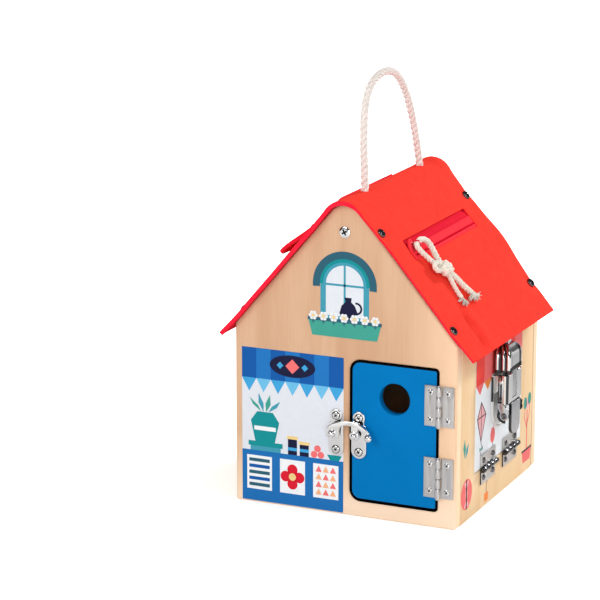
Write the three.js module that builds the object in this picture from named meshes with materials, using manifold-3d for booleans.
// Activity house: a plywood play house with a felt roof and a rope handle. It has a hinged front door with
// a swing latch, a drop-down side flap with a toggle latch, a zipped roof slot and a felt pocket flap.
// Millimetres. X runs across the front, Y to the back, Z up. The origin is the middle of the footprint.
import * as THREE from "three";
import { mergeVertices } from "three/addons/utils/BufferGeometryUtils.js";
import Module from "manifold-3d";

const wasm = await Module();
wasm.setup();

// House shell
const houseWidth = 220;
const houseDepth = 220;
const eaveHeight = 172;
const peakHeight = 302; // where the two roof slopes would meet
const peakRadius = 17;
const eaveRadius = 4;
const footRadius = 2;
const panelThick = 12; // front and back
const wallThick = 9; // left and right
const floorThick = 9;
const panelChamfer = 1.2;
const wallChamfer = 0.8;
const seat = 0.3; // gap between pieces that rest on each other
const overrun = 2; // how far a cutting tool runs past what it cuts
const weld = 0.001; // vertices closer than this are one

// Front doorway and door
const doorwayFromSide = 17.5; // from the house's right side
const doorwayLow = 14.5;
const doorwayWidth = 87.5;
const doorwayHeight = 135.6;
const doorwayLatchRadius = 11;
const doorwayHingeRadius = 4;
const doorGapLatch = 2.3;
const doorGapHinge = 1.3;
const doorGapTop = 1.5;
const doorGapLow = 2.5;
const doorThick = 9;
const peepRadius = 14.8;
const peepDrop = 32.1; // under the door's top edge
const peepFromLatchEdge = 42.3;

// Side flap in the right wall
const flapWidth = 125;
const flapHeight = 107.5;
const flapLow = 39.5;
const flapMiddle = 2; // along Y
const flapGap = 1.2;
const flapRadius = 3;

// Butt hinges: two on the door, two under the flap
const hingeLength = 38;
const hingeLeaf = 14.2; // from the pin's axis to the leaf's free edge
const leafThick = 1.2;
const knuckleRadius = 2.65;
const knuckleCount = 4;
const knuckleGap = 0.4;
const hingePinRadius = 1.2;
const pinClearance = 0.3;
const pinHeadRadius = 1.9;
const pinHeadThick = 0.7;
const hingeHoleRadius = 1.7;
const hingeHoleSpacing = 25.5;
const hingeHoleOffset = 8.3; // from the pin's axis
const doorHingeHeights = [115.6, 48.1];
const doorHingeShift = 1.65; // the pin sits this far past the middle of the door's gap
const flapHingePlaces = [-28, 32]; // along Y

// Swing latch of the front door
const latchHeight = 79;
const latchPlateWidth = 13.5;
const latchPlateLength = 43;
const latchPlateThick = 1.5;
const latchDoorPlateInset = 7.9; // from the door's latch edge to the plate's middle
const latchFramePlateInset = 12.5; // from the doorway's edge to the plate's middle
const latchScrewSpacing = 32.4;
const latchPivotOffset = 2.7; // pivot towards the frame from the door plate's middle
const latchStudOffset = 2; // stud away from the door from the frame plate's middle
const latchBossRadius = 3.6;
const latchBossHeight = 2.1;
const armThick = 2.8;
const armBand = 4;
const armRise = 13;
const armHubRadius = 4.4;
const armHookRadius = 8;
const armTail = 15.4;
const knobRadius = 4;
const knobProud = 0.9; // how far the knob's back stays above the arm's back
const latchStudRadius = 2.2;
const latchStudHeadRadius = 4.2;
const latchStudHeadHeight = 3;
const hookSlotClearance = 1.4;
const rivetRadius = 1.6;
const rivetHeadRadius = 2.75;

// Wood screws of the latch and of the gables
const screwRadius = 1.3;
const screwLength = 7;
const screwHeadRadius = 3.1;
const screwHeadHeight = 1.5;
const gableScrewDrop = 34.5; // below the point where the slopes would meet
const gableScrewRadius = 1.8;
const gableScrewLength = 34;
const gableHeadRadius = 4.9;
const gableHeadHeight = 2.6;

// Ridge beam and rope handle
const beamWidth = 24;
const beamHeight = 24;
const ropeRadius = 3.8;
const ropeHoleClearance = 1;
const ropeFeltClearance = 1.6;
const ropeSides = 10;
const knotRadius = 8;
const nearLeg = -64; // along Y
const farLeg = 72;
const knotCentre = 245;
// The rope's centreline in Y and Z, from one knot over the arch to the other.
const ropeRoute = [
  [nearLeg, knotCentre],
  [nearLeg, 262],
  [nearLeg, 280],
  [-64.3, 298],
  [-65.6, 317],
  [-67.1, 335],
  [-67.6, 353],
  [-65.8, 371],
  [-59.8, 384],
  [-49.4, 393.4],
  [-33, 399],
  [-11.6, 399.8],
  [8.3, 394.4],
  [23.4, 383.8],
  [36.6, 369.5],
  [47, 353.6],
  [55.3, 337.8],
  [63.6, 318],
  [69, 303],
  [71.4, 292],
  [farLeg, 280],
  [farLeg, 262],
  [farLeg, knotCentre],
];

// Felt roof
const feltThick = 4;
const feltLength = 226;
const feltForward = 3; // the felt stands further out at the front than at the back
const feltOverhang = 16.6; // past the eave, along the slope
const studHeadRadius = 4.5;
const studHeadHeight = 2.6;
const studShankRadius = 1.1;
const studShankLength = 11;
const studFromPeak = 49; // along the slope, for the upper studs
const studFromEave = 14.3; // along the slope, for the lower studs

// Zip in the right slope
const zipLength = 157;
const zipWidth = 18.6;
const zipDown = 71.6;
const zipMiddle = 1; // along Y
const tapeThick = 0.8;
const tapeHem = 6.5; // how far the tapes reach under the felt
const zipSplit = 0.4;
const teethWidth = 1.8;
const teethHeight = 1.6;
const sliderWidth = 9;
const sliderLength = 14;
const sliderThick = 1.8;
const sliderCorner = 2.2;
const sliderFromEnd = 14.8; // slider's middle from the front end of the slot
const crownWire = 1.1;
const crownLength = 2.2;

// Pull cord: down the slope, along Y, and height over the slope, from one cut end to the other
const cordRadius = 2.4;
const cordSides = 8;
const cordEyeClearance = 0.6;
const cordKnotRadius = 6.2;
const cordKnotHeight = 4.7; // from the knot's middle to its top
const cordKnot = [101.5, -47.8, 9.4];
const cordRoute = [
  [142.2, -27.5, 7.2],
  [133, -31.6, 7.2],
  [123, -36.6, 7.4],
  [112, -42.2, 8.4],
  [102, -45.2, 9.2],
  [92.5, -47.8, 9],
  [84, -51.6, 8.4],
  [76.8, -56.2, 7.4],
  [72.6, -59.6, 6.8],
  [71.6, -62.7, 6.7],
  [72.6, -65.8, 6.8],
  [77, -67.4, 7.4],
  [84, -62.2, 8.2],
  [92.5, -53.6, 8.8],
  [102, -50.6, 9.2],
  [112, -49.6, 8.4],
  [122, -49.8, 7.4],
  [131, -49.4, 7.2],
  [139.6, -47.5, 7.2],
];

// Pocket flap on the left slope
const pocketWidth = 126;
const pocketMiddle = -16; // along Y
const pocketDown = 24;
const pocketReach = 84;
const pocketThick = 4;
const pocketLift = 0.1; // radians off the slope
const pocketRadius = 24;

// Toggle latch: base and lever on the flap, strike on the wall above
const toggleBaseWidth = 42;
const toggleBaseAbove = 14; // over the lever's pivot
const toggleBaseBelow = 48; // under the lever's pivot
const togglePlateThick = 1.2;
const toggleCorner = 3;
const earThick = 1.2;
const earHeight = 13;
const earBelow = 18; // under the lever's pivot
const leverWidth = 37;
const leverProud = 16.2; // the lever's face over the wall
const leverThick = 1.2;
const leverPivotDrop = 29; // under the flap's top edge
const leverPivotProud = 10;
const leverAbove = 4; // over the lever's pivot
const leverBelow = 57; // under the lever's pivot
const leverCorner = 9;
const leverCheekDepth = 10;
const leverCheekBelow = 34; // under the lever's pivot
const leverSlotWidth = 13;
const leverSlotDepth = 24;
const leverRivetRadius = 1.5;
const leverRivetHeadRadius = 2.4;
const clawPinDrop = 8; // below the lever's pivot
const clawPinInset = 3; // behind the lever's pivot
const clawPinRadius = 1.3;
const clawPinEnd = 0.7; // how far the pin stands out of the lever's cheeks
const clawStemWidth = 10;
const clawWidth = 34;
const clawThick = 1.5;
const clawEyeRadius = 2.9;
const clawDomeGap = 4.6; // between the lever's top edge and the dome
const clawHookClearance = 0.6; // between the hook and the strike's lip
const clawHookFree = 1.2; // between the hook's end and the strike's ledge
// Up the dome, as a share of its rise, and in from the lever's face, as a share of the plate's thickness
const domeShares = [
  [0.08, 1],
  [0.38, 0.5],
  [0.72, 2],
];
const strikeWidth = 36;
const strikeUp = 2.3; // over the edge of the flap's opening
const strikeHeight = 15.5;
const strikeLipReach = 9;
const strikeLipHeight = 4;

// Round pieces are drawn with this many sides
const fineSides = 20;
const smallSides = 12;
const ballRings = 8;
const domeSteps = 4;
const arcSteps = 6;
const peakSteps = 10;
const peepSteps = 28;
const ropeSteps = 44;
const cordSteps = 44;

// Finishes
const paint = (color, roughness, metalness = 0) =>
  new THREE.MeshStandardMaterial({ color, roughness, metalness });
const plywood = paint(0xe8c19a, 0.6);
const lightWood = paint(0xf0cfa0, 0.65);
const blueDoor = paint(0x007ac2, 0.45);
const whiteFlap = paint(0xeef0ea, 0.5);
const redFelt = paint(0xff4a3d, 0.95);
const crimsonTape = paint(0xd0142c, 0.8);
const crimsonEnamel = paint(0xc8102e, 0.35, 0.2);
const cotton = paint(0xf3e6d6, 0.9);
const nickel = paint(0xc9ccd0, 0.3, 1);
const chrome = paint(0xd8dade, 0.15, 1);

// Axes and drawing planes
const axisX = new THREE.Vector3(1, 0, 0);
const axisY = new THREE.Vector3(0, 1, 0);
const axisZ = new THREE.Vector3(0, 0, 1);
const at = (x, y, z) => new THREE.Vector3(x, y, z);
const drawnInXZ = new THREE.Matrix4().makeBasis(axisX, axisZ, axisY.clone().negate());
const drawnInYZ = new THREE.Matrix4().makeBasis(axisY, axisZ, axisX);

const frontFace = -houseDepth / 2;
const rightFace = houseWidth / 2;
const slope = Math.atan2(peakHeight - eaveHeight, houseWidth / 2);
const slopeLength = houseWidth / 2 / Math.cos(slope); // from the peak to the eave

const house = new THREE.Group();

function piece(name, geometry, finish, parent = house) {
  const mesh = new THREE.Mesh(geometry, finish);
  mesh.name = name;
  parent.add(mesh);
  return mesh;
}

function solidOf(geometry) {
  const bare = new THREE.BufferGeometry();
  bare.setAttribute("position", geometry.getAttribute("position"));
  bare.setIndex(geometry.index);
  const welded = mergeVertices(bare, weld);
  const mesh = new wasm.Mesh({
    numProp: 3,
    vertProperties: welded.getAttribute("position").array,
    triVerts: new Uint32Array(welded.index.array),
  });
  return new wasm.Manifold(mesh);
}

function geometryOf(solid) {
  const mesh = solid.getMesh();
  const geometry = new THREE.BufferGeometry();
  geometry.setAttribute("position", new THREE.BufferAttribute(mesh.vertProperties, 3));
  geometry.setIndex(new THREE.BufferAttribute(mesh.triVerts, 1));
  const faceted = geometry.toNonIndexed();
  faceted.computeVertexNormals();
  return faceted;
}

const cut = (body, ...tools) =>
  geometryOf(tools.reduce((left, tool) => left.subtract(solidOf(tool)), solidOf(body)));
const join = (body, ...others) =>
  geometryOf(others.reduce((sum, other) => sum.add(solidOf(other)), solidOf(body)));

// Corner points as [x, y, radius], given counterclockwise, become an outline with round corners.
function rounded(corners, steps = arcSteps) {
  return corners.flatMap(([x, y, radius], i) => {
    const corner = new THREE.Vector2(x, y);
    if (!radius) return [corner];
    const before = corners.at(i - 1);
    const after = corners[(i + 1) % corners.length];
    const back = new THREE.Vector2(before[0], before[1]).sub(corner).normalize();
    const ahead = new THREE.Vector2(after[0], after[1]).sub(corner).normalize();
    const half = Math.acos(back.dot(ahead)) / 2;
    const centre = corner
      .clone()
      .addScaledVector(back.clone().add(ahead).normalize(), radius / Math.sin(half));
    const start = corner.clone().addScaledVector(back, radius / Math.tan(half)).sub(centre);
    const turn = Math.PI - 2 * half;
    return Array.from({ length: steps + 1 }, (_, k) =>
      start.clone().rotateAround(new THREE.Vector2(), (turn * k) / steps).add(centre),
    );
  });
}

const rectangle = (left, low, right, high, radius = 0) =>
  rounded([
    [left, low, radius],
    [right, low, radius],
    [right, high, radius],
    [left, high, radius],
  ]);

const circle = (x, y, radius, sides = fineSides) =>
  Array.from({ length: sides }, (_, k) => {
    const angle = (2 * Math.PI * k) / sides;
    return new THREE.Vector2(x + radius * Math.cos(angle), y + radius * Math.sin(angle));
  });

// A flat sheet of the outline, from 0 to its thickness along local Z.
function sheet(outline, thick, holes = [], chamfer = 0) {
  const shape = new THREE.Shape(outline);
  shape.holes = holes.map((hole) => new THREE.Path(hole));
  const geometry = new THREE.ExtrudeGeometry(shape, {
    depth: thick - 2 * chamfer,
    bevelEnabled: chamfer > 0,
    bevelThickness: chamfer,
    bevelSize: chamfer,
    bevelOffset: -chamfer,
    bevelSegments: 1,
  });
  return geometry.translate(0, 0, chamfer);
}

// The outline of a bent strip whose middle runs through the points.
function ribbon(points, thick) {
  const middle = points.map(([x, y]) => new THREE.Vector2(x, y));
  const side = (sign) =>
    middle.map((point, i) => {
      const before = middle[Math.max(i - 1, 0)];
      const after = middle[Math.min(i + 1, middle.length - 1)];
      const into = point.clone().sub(before);
      const out = after.clone().sub(point);
      const first = (into.length() ? into : out).clone().normalize();
      const second = (out.length() ? out : into).clone().normalize();
      const along = first.clone().add(second).normalize();
      const miter = thick / 2 / along.dot(first);
      return point.clone().add(new THREE.Vector2(along.y, -along.x).multiplyScalar(sign * miter));
    });
  return [...side(1), ...side(-1).reverse()];
}

function rod(radius, start, end, sides = smallSides) {
  const span = end.clone().sub(start);
  const geometry = new THREE.CylinderGeometry(radius, radius, span.length(), sides);
  geometry.applyQuaternion(new THREE.Quaternion().setFromUnitVectors(axisY, span.normalize()));
  const middle = start.clone().add(end).divideScalar(2);
  return geometry.translate(middle.x, middle.y, middle.z);
}

function block(low, high) {
  const size = high.clone().sub(low);
  const middle = low.clone().add(high).divideScalar(2);
  return new THREE.BoxGeometry(size.x, size.y, size.z).translate(middle.x, middle.y, middle.z);
}

// A turned piece: a domed head that stands on local Z = 0 over a shank that reaches below it.
function domedPin(headRadius, headHeight, shankRadius, shankLength) {
  const profile = [new THREE.Vector2(0, -shankLength), new THREE.Vector2(shankRadius, -shankLength)];
  profile.push(new THREE.Vector2(shankRadius, 0));
  for (let k = 0; k <= domeSteps; k += 1) {
    const angle = (Math.PI / 2) * (k / domeSteps);
    const reach = k === domeSteps ? 0 : headRadius * Math.cos(angle);
    profile.push(new THREE.Vector2(reach, headHeight * Math.sin(angle)));
  }
  return new THREE.LatheGeometry(profile, smallSides).rotateX(Math.PI / 2);
}

// A round cord through the points, with flat ends.
function tube(points, radius, sides, steps) {
  const path = new THREE.CatmullRomCurve3(points, false, "centripetal");
  return new THREE.ExtrudeGeometry(new THREE.Shape(circle(0, 0, radius, sides)), {
    steps,
    bevelEnabled: false,
    extrudePath: path,
  });
}

// Shell: gable panels, side walls, floor and ridge beam
const gable = rounded([
  [-houseWidth / 2, 0, footRadius],
  [houseWidth / 2, 0, footRadius],
  [houseWidth / 2, eaveHeight, eaveRadius],
  [0, peakHeight, peakRadius],
  [-houseWidth / 2, eaveHeight, eaveRadius],
]);

const doorwayRight = houseWidth / 2 - doorwayFromSide;
const doorwayLeft = doorwayRight - doorwayWidth;
const doorwayTop = doorwayLow + doorwayHeight;
const doorway = rounded([
  [doorwayLeft, doorwayLow, doorwayLatchRadius],
  [doorwayRight, doorwayLow, doorwayHingeRadius],
  [doorwayRight, doorwayTop, doorwayHingeRadius],
  [doorwayLeft, doorwayTop, doorwayLatchRadius],
]);

const frontPanel = sheet(gable, panelThick, [doorway], panelChamfer).applyMatrix4(drawnInXZ);
frontPanel.translate(0, frontFace + panelThick, 0);
const backPanel = sheet(gable, panelThick, [], panelChamfer).applyMatrix4(drawnInXZ);
backPanel.translate(0, -frontFace, 0);

const wallReach = houseDepth / 2 - panelThick - seat; // walls, floor and beam fit between the panels
const flapLeft = flapMiddle - flapWidth / 2;
const flapRight = flapMiddle + flapWidth / 2;
const flapTop = flapLow + flapHeight;
const wallOutline = rectangle(-wallReach, 0, wallReach, eaveHeight);
const flapOpening = rectangle(
  flapLeft - flapGap,
  flapLow - flapGap,
  flapRight + flapGap,
  flapTop + flapGap,
  flapRadius,
);
const leftWall = sheet(wallOutline, wallThick).applyMatrix4(drawnInYZ).translate(-rightFace, 0, 0);
const rightWall = sheet(wallOutline, wallThick, [flapOpening])
  .applyMatrix4(drawnInYZ)
  .translate(rightFace - wallThick, 0, 0);
piece("left_wall", leftWall, lightWood);

const floorReach = rightFace - wallThick - seat;
const floorBlock = block(at(-floorReach, -wallReach, 0), at(floorReach, wallReach, floorThick));
piece("floor_panel", floorBlock, lightWood);

// Screws: a pilot hole for each, and the screws themselves further down
const pilot = (radius, start, end) => rod(radius + seat, start, end);
const doorLeft = doorwayLeft + doorGapLatch;
const doorRight = doorwayRight - doorGapHinge;
const doorLow = doorwayLow + doorGapLow;
const doorTop = doorwayTop - doorGapTop;
const framePlateX = doorwayLeft - latchFramePlateInset;
const doorPlateX = doorLeft + latchDoorPlateInset;
const latchScrewHeights = [latchHeight + latchScrewSpacing / 2, latchHeight - latchScrewSpacing / 2];
const latchPilots = (x) =>
  latchScrewHeights.map((z) =>
    pilot(screwRadius, at(x, frontFace - overrun, z), at(x, frontFace + screwLength + seat, z)),
  );
const gableScrewHeight = peakHeight - gableScrewDrop;
const gableTip = frontFace + gableScrewLength;
const gablePilot = (sign) =>
  pilot(
    gableScrewRadius,
    at(0, sign * (frontFace - overrun), gableScrewHeight),
    at(0, sign * (gableTip + seat), gableScrewHeight),
  );

const beamLow = gableScrewHeight - beamHeight / 2;
const beamTop = gableScrewHeight + beamHeight / 2;
const ropeHole = (y, clearance, low, high) =>
  rod(ropeRadius + clearance, at(0, y, low), at(0, y, high), fineSides);
const beam = cut(
  block(at(-beamWidth / 2, -wallReach, beamLow), at(beamWidth / 2, wallReach, beamTop)),
  ropeHole(nearLeg, ropeHoleClearance, beamLow - overrun, beamTop + overrun),
  ropeHole(farLeg, ropeHoleClearance, beamLow - overrun, beamTop + overrun),
  gablePilot(1),
  gablePilot(-1),
);
piece("ridge_beam", beam, lightWood);

// Roof studs stand square to the slopes, over the edges of the gable panels
const rightSlope = new THREE.Group();
rightSlope.position.z = peakHeight;
rightSlope.rotation.y = slope; // local X runs down the slope, local Z stands square to it
const leftSlope = new THREE.Group();
leftSlope.position.z = peakHeight;
leftSlope.rotation.set(0, slope, Math.PI, "ZYX");
const slopes = { right: rightSlope, left: leftSlope };
Object.values(slopes).forEach((group) => group.updateMatrix());
house.add(rightSlope, leftSlope);

const feltUnder = seat;
const feltTop = feltUnder + feltThick;
const studPlaces = ["right", "left"].flatMap((side) =>
  ["front", "rear"].flatMap((end) =>
    [
      ["upper", studFromPeak],
      ["lower", slopeLength - studFromEave],
    ].map(([level, down]) => {
      const towards = (end === "front" ? -1 : 1) * (side === "right" ? 1 : -1);
      const along = (towards * (houseDepth - panelThick)) / 2;
      return { name: `roof_stud_${side}_${end}_${level}`, side, down, along };
    }),
  ),
);
const studHoles = studPlaces.map(({ side, down, along }) =>
  pilot(
    studShankRadius,
    at(down, along, feltTop - studShankLength),
    at(down, along, feltTop + overrun),
  ).applyMatrix4(slopes[side].matrix),
);
studPlaces.forEach(({ name, side, down, along }) => {
  const stud = piece(
    name,
    domedPin(studHeadRadius, studHeadHeight, studShankRadius, studShankLength),
    nickel,
    slopes[side],
  );
  stud.position.set(down, along, feltTop + seat);
});

piece("front_panel", cut(frontPanel, ...latchPilots(framePlateX), gablePilot(1), ...studHoles), plywood);
piece("back_panel", cut(backPanel, gablePilot(-1), ...studHoles), plywood);

[
  ["gable_screw_front", 1],
  ["gable_screw_back", -1],
].forEach(([name, sign]) => {
  const screw = piece(
    name,
    domedPin(gableHeadRadius, gableHeadHeight, gableScrewRadius, gableScrewLength),
    nickel,
  );
  screw.position.set(0, sign * (frontFace - seat), gableScrewHeight);
  screw.rotation.x = (sign * Math.PI) / 2;
});

// Felt roof: one sheet bent over the peak
const slopePoint = (side, down, lift) =>
  new THREE.Vector2(
    side * (Math.cos(slope) * down + Math.sin(slope) * lift),
    peakHeight - Math.sin(slope) * down + Math.cos(slope) * lift,
  );
const feltReach = slopeLength + feltOverhang;
const peakCentre = peakHeight - peakRadius / Math.cos(slope);
function roofLine(lift) {
  const arc = Array.from({ length: peakSteps + 1 }, (_, k) => {
    const angle = Math.PI / 2 - slope + (2 * slope * k) / peakSteps;
    return new THREE.Vector2(
      (peakRadius + lift) * Math.cos(angle),
      peakCentre + (peakRadius + lift) * Math.sin(angle),
    );
  });
  return [slopePoint(1, feltReach, lift), ...arc, slopePoint(-1, feltReach, lift)];
}
const feltOutline = [...roofLine(feltUnder), ...roofLine(feltTop).reverse()].reverse();
const feltFront = -feltLength / 2 - feltForward;
const feltSheet = sheet(feltOutline, feltLength)
  .applyMatrix4(drawnInXZ)
  .translate(0, feltFront + feltLength, 0);
const zipStart = zipMiddle - zipLength / 2;
const zipEnd = zipMiddle + zipLength / 2;
const zipSlot = block(
  at(zipDown - zipWidth / 2, zipStart, feltUnder - overrun),
  at(zipDown + zipWidth / 2, zipEnd, feltTop + overrun),
).applyMatrix4(rightSlope.matrix);
const felt = cut(
  feltSheet,
  zipSlot,
  ropeHole(nearLeg, ropeFeltClearance, peakCentre, peakHeight),
  ropeHole(farLeg, ropeFeltClearance, peakCentre, peakHeight),
  ...studHoles,
);
piece("roof_felt", felt, redFelt);

// Rope handle with a stopper knot on each end, under the beam
const ball = (radius) => new THREE.SphereGeometry(radius, smallSides, ballRings);
const ropePoints = ropeRoute.map(([y, z]) => at(0, y, z));
const rope = join(
  tube(ropePoints, ropeRadius, ropeSides, ropeSteps),
  ball(knotRadius).translate(0, nearLeg, knotCentre),
  ball(knotRadius).translate(0, farLeg, knotCentre),
);
piece("rope_handle", rope, cotton);

// Zip: two tapes with teeth under the slot, and a slider with a crown for the cord
[
  ["zip_tape_upper", -1],
  ["zip_tape_lower", 1],
].forEach(([name, side]) => {
  const near = side * (zipSplit / 2);
  const far = side * (zipWidth / 2 + tapeHem);
  const teeth = side * (zipSplit / 2 + teethWidth);
  const across = (a, b) => [zipDown + Math.min(a, b), zipDown + Math.max(a, b)];
  const [tapeFrom, tapeTo] = across(near, far);
  const [teethFrom, teethTo] = across(near, teeth);
  const tape = join(
    block(
      at(tapeFrom, zipStart - tapeHem, -tapeThick),
      at(tapeTo, zipEnd + tapeHem, 0),
    ),
    block(at(teethFrom, zipStart + seat, -tapeThick), at(teethTo, zipEnd - seat, teethHeight)),
  );
  piece(name, tape, crimsonTape, rightSlope);
});

const sliderLow = teethHeight + seat;
const sliderTop = sliderLow + sliderThick;
const crownInner = cordRadius + cordEyeClearance;
const crownMiddle = crownInner + crownWire / 2;
const crownCentre = sliderTop + seat + cordRadius;
const crownArc = Array.from({ length: arcSteps + 1 }, (_, k) => {
  const angle = (Math.PI * k) / arcSteps;
  return [crownMiddle * Math.cos(angle), crownCentre + crownMiddle * Math.sin(angle)];
});
const crownPath = [[crownMiddle, sliderLow], ...crownArc, [-crownMiddle, sliderLow]];
const sliderBody = sheet(
  rectangle(-sliderWidth / 2, -sliderLength / 2, sliderWidth / 2, sliderLength / 2, sliderCorner),
  sliderThick,
).translate(0, 0, sliderLow);
const crown = sheet(ribbon(crownPath, crownWire), crownLength)
  .applyMatrix4(drawnInXZ)
  .translate(0, crownLength / 2, 0);
const slider = piece("zip_slider", join(sliderBody, crown), crimsonEnamel, rightSlope);
slider.position.set(zipDown, zipStart + sliderFromEnd, 0);

const cordPoints = cordRoute.map(([down, along, lift]) => at(down, along, lift));
const pullCord = join(
  tube(cordPoints, cordRadius, cordSides, cordSteps),
  ball(cordKnotRadius)
    .scale(1, 1, cordKnotHeight / cordKnotRadius)
    .translate(...cordKnot),
);
piece("pull_cord", pullCord, cotton, rightSlope);

// Pocket flap: felt with a round nose along its fold, so that it can turn up
const pocketHinge = new THREE.Group();
pocketHinge.position.set(pocketDown, 0, feltTop + seat + pocketThick / 2);
pocketHinge.rotation.y = -pocketLift;
leftSlope.add(pocketHinge);
const pocketFrom = -pocketMiddle - pocketWidth / 2; // local Y runs from the back to the front here
const pocketTo = pocketFrom + pocketWidth;
const pocketSheet = sheet(
  rounded([
    [0, pocketFrom, 0],
    [pocketReach, pocketFrom, pocketRadius],
    [pocketReach, pocketTo, pocketRadius],
    [0, pocketTo, 0],
  ]),
  pocketThick,
).translate(0, 0, -pocketThick / 2);
const pocketNose = rod(pocketThick / 2, at(0, pocketFrom, 0), at(0, pocketTo, 0));
piece("pocket_flap", join(pocketSheet, pocketNose), redFelt, pocketHinge);

// Doors
const doorOutline = rounded([
  [doorLeft, doorLow, doorwayLatchRadius - doorGapLatch],
  [doorRight, doorLow, doorwayHingeRadius - doorGapHinge],
  [doorRight, doorTop, doorwayHingeRadius - doorGapHinge],
  [doorLeft, doorTop, doorwayLatchRadius - doorGapLatch],
]);
const peep = circle(doorLeft + peepFromLatchEdge, doorTop - peepDrop, peepRadius, peepSteps);
const door = sheet(doorOutline, doorThick, [peep], wallChamfer).applyMatrix4(drawnInXZ);
door.translate(0, frontFace + doorThick, 0);
piece("front_door", cut(door, ...latchPilots(doorPlateX)), blueDoor);
const flapOutline = rectangle(flapLeft, flapLow, flapRight, flapTop, flapRadius - flapGap);
const flap = sheet(flapOutline, wallThick, [], wallChamfer).applyMatrix4(drawnInYZ);
piece("side_flap", flap.translate(rightFace - wallThick, 0, 0), whiteFlap);
piece("right_wall", rightWall, lightWood);

// A butt hinge about local Z. The wood's face is behind it, at local Y = hingeStandoff.
const hingeStandoff = knuckleRadius + seat;
const leafFace = knuckleRadius - leafThick;
function buttHinge(names, parent) {
  const pitch = hingeLength / knuckleCount;
  const leafStart = knuckleRadius + knuckleGap;
  const bore = rod(hingePinRadius + pinClearance, at(0, 0, -hingeLength), at(0, 0, hingeLength));
  [1, -1].forEach((side, turn) => {
    const plateEnds = side > 0 ? [leafStart, hingeLeaf] : [-hingeLeaf, -leafStart];
    const holes = [-1, 1].map((end) =>
      circle(side * hingeHoleOffset, (end * hingeHoleSpacing) / 2, hingeHoleRadius, smallSides),
    );
    const plate = sheet(
      rectangle(plateEnds[0], -hingeLength / 2, plateEnds[1], hingeLength / 2),
      leafThick,
      holes,
    )
      .applyMatrix4(drawnInXZ)
      .translate(0, knuckleRadius, 0);
    const barrels = [];
    for (let k = turn; k < knuckleCount; k += 2) {
      const low = -hingeLength / 2 + k * pitch + (k > 0 ? knuckleGap / 2 : 0);
      const high = -hingeLength / 2 + (k + 1) * pitch - (k < knuckleCount - 1 ? knuckleGap / 2 : 0);
      const webEnds = side > 0 ? [0, leafStart + leafThick] : [-leafStart - leafThick, 0];
      barrels.push(rod(knuckleRadius, at(0, 0, low), at(0, 0, high)));
      barrels.push(block(at(webEnds[0], leafFace, low), at(webEnds[1], knuckleRadius, high)));
    }
    piece(names[turn], cut(join(plate, ...barrels), bore), nickel, parent);
  });
  const shank = rod(hingePinRadius, at(0, 0, -hingeLength / 2 - seat), at(0, 0, hingeLength / 2 + seat));
  const headOf = (sign) =>
    rod(
      pinHeadRadius,
      at(0, 0, sign * (hingeLength / 2 + seat)),
      at(0, 0, sign * (hingeLength / 2 + seat + pinHeadThick)),
    );
  piece(names[2], join(shank, headOf(1), headOf(-1)), nickel, parent);
}

["upper", "lower"].forEach((level, i) => {
  const hinge = new THREE.Group();
  const pinX = doorwayRight - doorGapHinge / 2 + doorHingeShift;
  hinge.position.set(pinX, frontFace - hingeStandoff, doorHingeHeights[i]);
  house.add(hinge);
  const names = ["frame_leaf", "door_leaf", "pin"].map((part) => `door_hinge_${level}_${part}`);
  buttHinge(names, hinge);
});

const flapPinHeight = flapLow - flapGap / 2;
["front", "rear"].forEach((end, i) => {
  const hinge = new THREE.Group();
  hinge.position.set(rightFace + hingeStandoff, flapHingePlaces[i], flapPinHeight);
  // Local X turns to -Z, local Y to -X and local Z to +Y.
  hinge.setRotationFromMatrix(
    new THREE.Matrix4().makeBasis(axisZ.clone().negate(), axisX.clone().negate(), axisY),
  );
  house.add(hinge);
  const names = ["wall_leaf", "flap_leaf", "pin"].map((part) => `flap_hinge_${end}_${part}`);
  buttHinge(names, hinge);
});

// Swing latch, drawn in X and Z with its depth counted outwards from the panel's face
const latch = new THREE.Group();
latch.position.set(0, frontFace, latchHeight);
latch.setRotationFromMatrix(drawnInXZ); // local Z points out of the front
house.add(latch);
const pivotX = doorPlateX - latchPivotOffset;
const hookX = framePlateX - latchStudOffset;
const plateTop = seat + latchPlateThick;
const armBack = plateTop + latchBossHeight + seat;
const armFront = armBack + armThick;
const latchPlate = (x, holes) =>
  sheet(
    rectangle(
      x - latchPlateWidth / 2,
      -latchPlateLength / 2,
      x + latchPlateWidth / 2,
      latchPlateLength / 2,
      latchPlateWidth / 2 - weld,
    ),
    latchPlateThick,
    holes,
  ).translate(0, 0, seat);
const screwHoles = (x) =>
  [1, -1].map((end) => circle(x, (end * latchScrewSpacing) / 2, screwRadius + seat, smallSides));
const studHole = circle(hookX, 0, latchStudRadius + seat, smallSides);
const framePlateHoles = [...screwHoles(framePlateX), studHole];
piece(
  "latch_frame_plate",
  latchPlate(framePlateX, framePlateHoles),
  chrome,
  latch,
);
const boss = cut(
  rod(latchBossRadius, at(pivotX, 0, seat), at(pivotX, 0, plateTop + latchBossHeight)),
  rod(rivetRadius + seat, at(pivotX, 0, seat - overrun), at(pivotX, 0, armFront)),
);
const doorPlateHoles = [...screwHoles(doorPlateX), circle(pivotX, 0, rivetRadius + seat, smallSides)];
piece("latch_door_plate", join(latchPlate(doorPlateX, doorPlateHoles), boss), chrome, latch);

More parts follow.
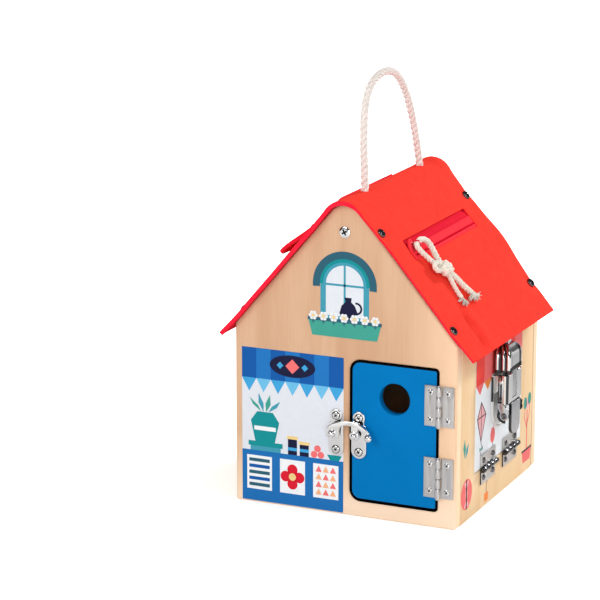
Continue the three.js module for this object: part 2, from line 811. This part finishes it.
// The arm: a hook ring, an arched band, a hub with its web, and a tail that ends in a round knob
const hookReach = pivotX - hookX;
const armEnds = [-hookReach, armTail];
const armSpan = armEnds[1] - armEnds[0];
const armCircle = (armSpan * armSpan) / (8 * armRise) + armRise / 2;
const armMiddle = (armEnds[0] + armEnds[1]) / 2;
const armHalf = Math.asin(armSpan / 2 / armCircle);
const bandPoints = Array.from({ length: peakSteps + 1 }, (_, k) => {
  const angle = armHalf - (2 * armHalf * k) / peakSteps;
  return [armMiddle - armCircle * Math.sin(angle), armRise - armCircle + armCircle * Math.cos(angle)];
});
const webShares = { top: 0.8, foot: 0.7, shoulder: 0.75, notch: 0.6, crest: 0.4 };
const webTop = armRise * webShares.top;
const armPlate = (outline) => sheet(outline, armThick);
const slotHalf = latchStudRadius + hookSlotClearance;
const webHalf = armHubRadius * webShares.foot;
const armBody = join(
  armPlate(circle(-hookReach, 0, armHookRadius)),
  armPlate(ribbon(bandPoints, armBand)),
  armPlate(circle(0, 0, armHubRadius)),
  armPlate([
    new THREE.Vector2(-webHalf, 0),
    new THREE.Vector2(armHubRadius, 0),
    new THREE.Vector2(armTail * webShares.shoulder, webTop * webShares.notch),
    new THREE.Vector2(armTail * webShares.crest, webTop),
    new THREE.Vector2(-webHalf, webTop),
  ]),
  ball(knobRadius).translate(armTail, 0, knobRadius + knobProud),
);
const arm = piece(
  "latch_arm",
  cut(
    armBody,
    rod(rivetRadius + seat, at(0, 0, -overrun), at(0, 0, armThick + overrun)),
    rod(slotHalf, at(-hookReach, 0, -overrun), at(-hookReach, 0, armThick + overrun)),
    block(
      at(-hookReach - slotHalf, -armHookRadius - overrun, -overrun),
      at(-hookReach + slotHalf, 0, armThick + overrun),
    ),
  ),
  chrome,
  latch,
);
arm.position.set(pivotX, 0, armBack);

const latchPin = (name, x, headRadius, headHeight, shankRadius) => {
  const pin = piece(name, domedPin(headRadius, headHeight, shankRadius, armFront), chrome, latch);
  pin.position.set(x, 0, armFront + seat);
};
latchPin("latch_stud", hookX, latchStudHeadRadius, latchStudHeadHeight, latchStudRadius);
latchPin("latch_rivet", pivotX, rivetHeadRadius, rivetHeadRadius, rivetRadius);
[
  ["latch_frame_screw_upper", framePlateX, 1],
  ["latch_frame_screw_lower", framePlateX, -1],
  ["latch_door_screw_upper", doorPlateX, 1],
  ["latch_door_screw_lower", doorPlateX, -1],
].forEach(([name, x, end]) => {
  const shank = screwLength + plateTop;
  const screw = piece(name, domedPin(screwHeadRadius, screwHeadHeight, screwRadius, shank), nickel, latch);
  screw.position.set(x, (end * latchScrewSpacing) / 2, plateTop + seat);
});

// Toggle latch, drawn in Y and Z with its depth counted outwards from the wall's face
const toggle = new THREE.Group();
toggle.position.set(rightFace, flapMiddle, 0);
toggle.setRotationFromMatrix(drawnInYZ); // local X is along Y, local Y is up, local Z points out of the wall
house.add(toggle);
const leverPivotHeight = flapTop - leverPivotDrop;
const toggleBaseLow = leverPivotHeight - toggleBaseBelow;
const toggleBaseHigh = leverPivotHeight + toggleBaseAbove;
const halfBase = toggleBaseWidth / 2;
const baseOutline = rounded([
  [-halfBase, toggleBaseLow, halfBase - weld],
  [halfBase, toggleBaseLow, halfBase - weld],
  [halfBase, toggleBaseHigh, toggleCorner],
  [-halfBase, toggleBaseHigh, toggleCorner],
]);
const ear = (side) => {
  const outer = side * halfBase;
  const inner = side * (halfBase - earThick);
  const body = block(
    at(Math.min(inner, outer), leverPivotHeight - earBelow, seat),
    at(Math.max(inner, outer), toggleBaseHigh - toggleCorner, earHeight),
  );
  return cut(
    body,
    rod(
      leverRivetRadius + seat,
      at(-overrun + Math.min(inner, outer), leverPivotHeight, leverPivotProud),
      at(overrun + Math.max(inner, outer), leverPivotHeight, leverPivotProud),
    ),
  );
};
const base = join(sheet(baseOutline, togglePlateThick).translate(0, 0, seat), ear(1), ear(-1));
piece("toggle_base", base, chrome, toggle);

const halfLever = leverWidth / 2;
const leverTop = leverPivotHeight + leverAbove;
const leverLow = leverPivotHeight - leverBelow;
const leverFace = sheet(
  rounded([
    [-halfLever, leverLow, leverCorner],
    [halfLever, leverLow, leverCorner],
    [halfLever, leverTop, 0],
    [-halfLever, leverTop, 0],
  ]),
  leverThick,
).translate(0, 0, leverProud - leverThick);
const cheek = (side) => {
  const outer = side * halfLever;
  const inner = side * (halfLever - leverThick);
  return block(
    at(Math.min(inner, outer), leverPivotHeight - leverCheekBelow, leverProud - leverCheekDepth),
    at(Math.max(inner, outer), leverTop, leverProud - leverThick / 2),
  );
};
const clawPinHeight = leverPivotHeight - clawPinDrop;
const clawPinProud = leverPivotProud - clawPinInset;
const lever = cut(
  join(leverFace, cheek(1), cheek(-1)),
  block(
    at(-leverSlotWidth / 2, leverTop - leverSlotDepth, leverProud - leverThick - overrun),
    at(leverSlotWidth / 2, leverTop + overrun, leverProud + overrun),
  ),
  rod(
    leverRivetRadius + seat,
    at(-toggleBaseWidth, leverPivotHeight, leverPivotProud),
    at(toggleBaseWidth, leverPivotHeight, leverPivotProud),
  ),
  rod(
    clawPinRadius + seat,
    at(-toggleBaseWidth, clawPinHeight, clawPinProud),
    at(toggleBaseWidth, clawPinHeight, clawPinProud),
  ),
);
piece("toggle_lever", lever, chrome, toggle);

[
  ["lever_rivet_front", -1],
  ["lever_rivet_rear", 1],
].forEach(([name, side]) => {
  const innerEnd = side * (halfLever - 2 * leverThick);
  const shank = rod(
    leverRivetRadius,
    at(innerEnd, leverPivotHeight, leverPivotProud),
    at(side * (halfBase + seat + earThick / 2), leverPivotHeight, leverPivotProud),
  );
  const head = rod(
    leverRivetHeadRadius,
    at(side * (halfBase + seat), leverPivotHeight, leverPivotProud),
    at(side * (halfBase + seat + earThick), leverPivotHeight, leverPivotProud),
  );
  piece(name, join(shank, head), nickel, toggle);
});
const clawPinReach = halfLever + clawPinEnd;
piece(
  "claw_pin",
  rod(
    clawPinRadius,
    at(-clawPinReach, clawPinHeight, clawPinProud),
    at(clawPinReach, clawPinHeight, clawPinProud),
  ),
  nickel,
  toggle,
);

// The claw, seen from the side as distance from the wall and height: a stem, a domed plate and a hooked end
const domeStart = leverTop + clawDomeGap;
const strikeLow = flapTop + flapGap + strikeUp;
const ledgeTop = strikeLow + togglePlateThick;
const hookTop = ledgeTop + strikeLipHeight + clawHookClearance + clawThick / 2;
const hookProud = strikeLipReach - togglePlateThick - clawHookClearance - clawThick / 2;
const domeRise = hookTop - domeStart;
const stemLine = [
  [clawPinProud, clawPinHeight],
  [clawPinProud, leverTop],
  [clawPinProud + clawThick, domeStart],
];
const domeLine = [
  [clawPinProud, domeStart],
  ...domeShares.map(([up, inset]) => [leverProud - clawThick * inset, domeStart + domeRise * up]),
  [strikeLipReach + clawThick, hookTop],
  [hookProud, hookTop],
  [hookProud, ledgeTop + clawHookFree],
];
// Lines drawn as distance from the wall and height become strips across the latch.
const acrossLatch = new THREE.Matrix4().makeBasis(axisZ, axisY, axisX.clone().negate());
const bent = (line, thick, width) =>
  sheet(ribbon(line, thick), width).applyMatrix4(acrossLatch).translate(width / 2, 0, 0);
const claw = cut(
  join(
    bent(stemLine, clawThick, clawStemWidth),
    bent(domeLine, clawThick, clawWidth),
    rod(
      clawEyeRadius,
      at(-clawStemWidth / 2, clawPinHeight, clawPinProud),
      at(clawStemWidth / 2, clawPinHeight, clawPinProud),
    ),
  ),
  rod(
    clawPinRadius + seat,
    at(-clawStemWidth, clawPinHeight, clawPinProud),
    at(clawStemWidth, clawPinHeight, clawPinProud),
  ),
);
piece("toggle_claw", claw, chrome, toggle);

const lipMiddle = strikeLipReach - togglePlateThick / 2;
const lipLine = [
  [seat, strikeLow + togglePlateThick / 2],
  [lipMiddle, strikeLow + togglePlateThick / 2],
  [lipMiddle, ledgeTop + strikeLipHeight],
];
const strike = join(
  sheet(rectangle(-strikeWidth / 2, strikeLow, strikeWidth / 2, strikeLow + strikeHeight), togglePlateThick)
    .translate(0, 0, seat),
  bent(lipLine, togglePlateThick, strikeWidth),
);
piece("toggle_strike", strike, chrome, toggle);

export default house;
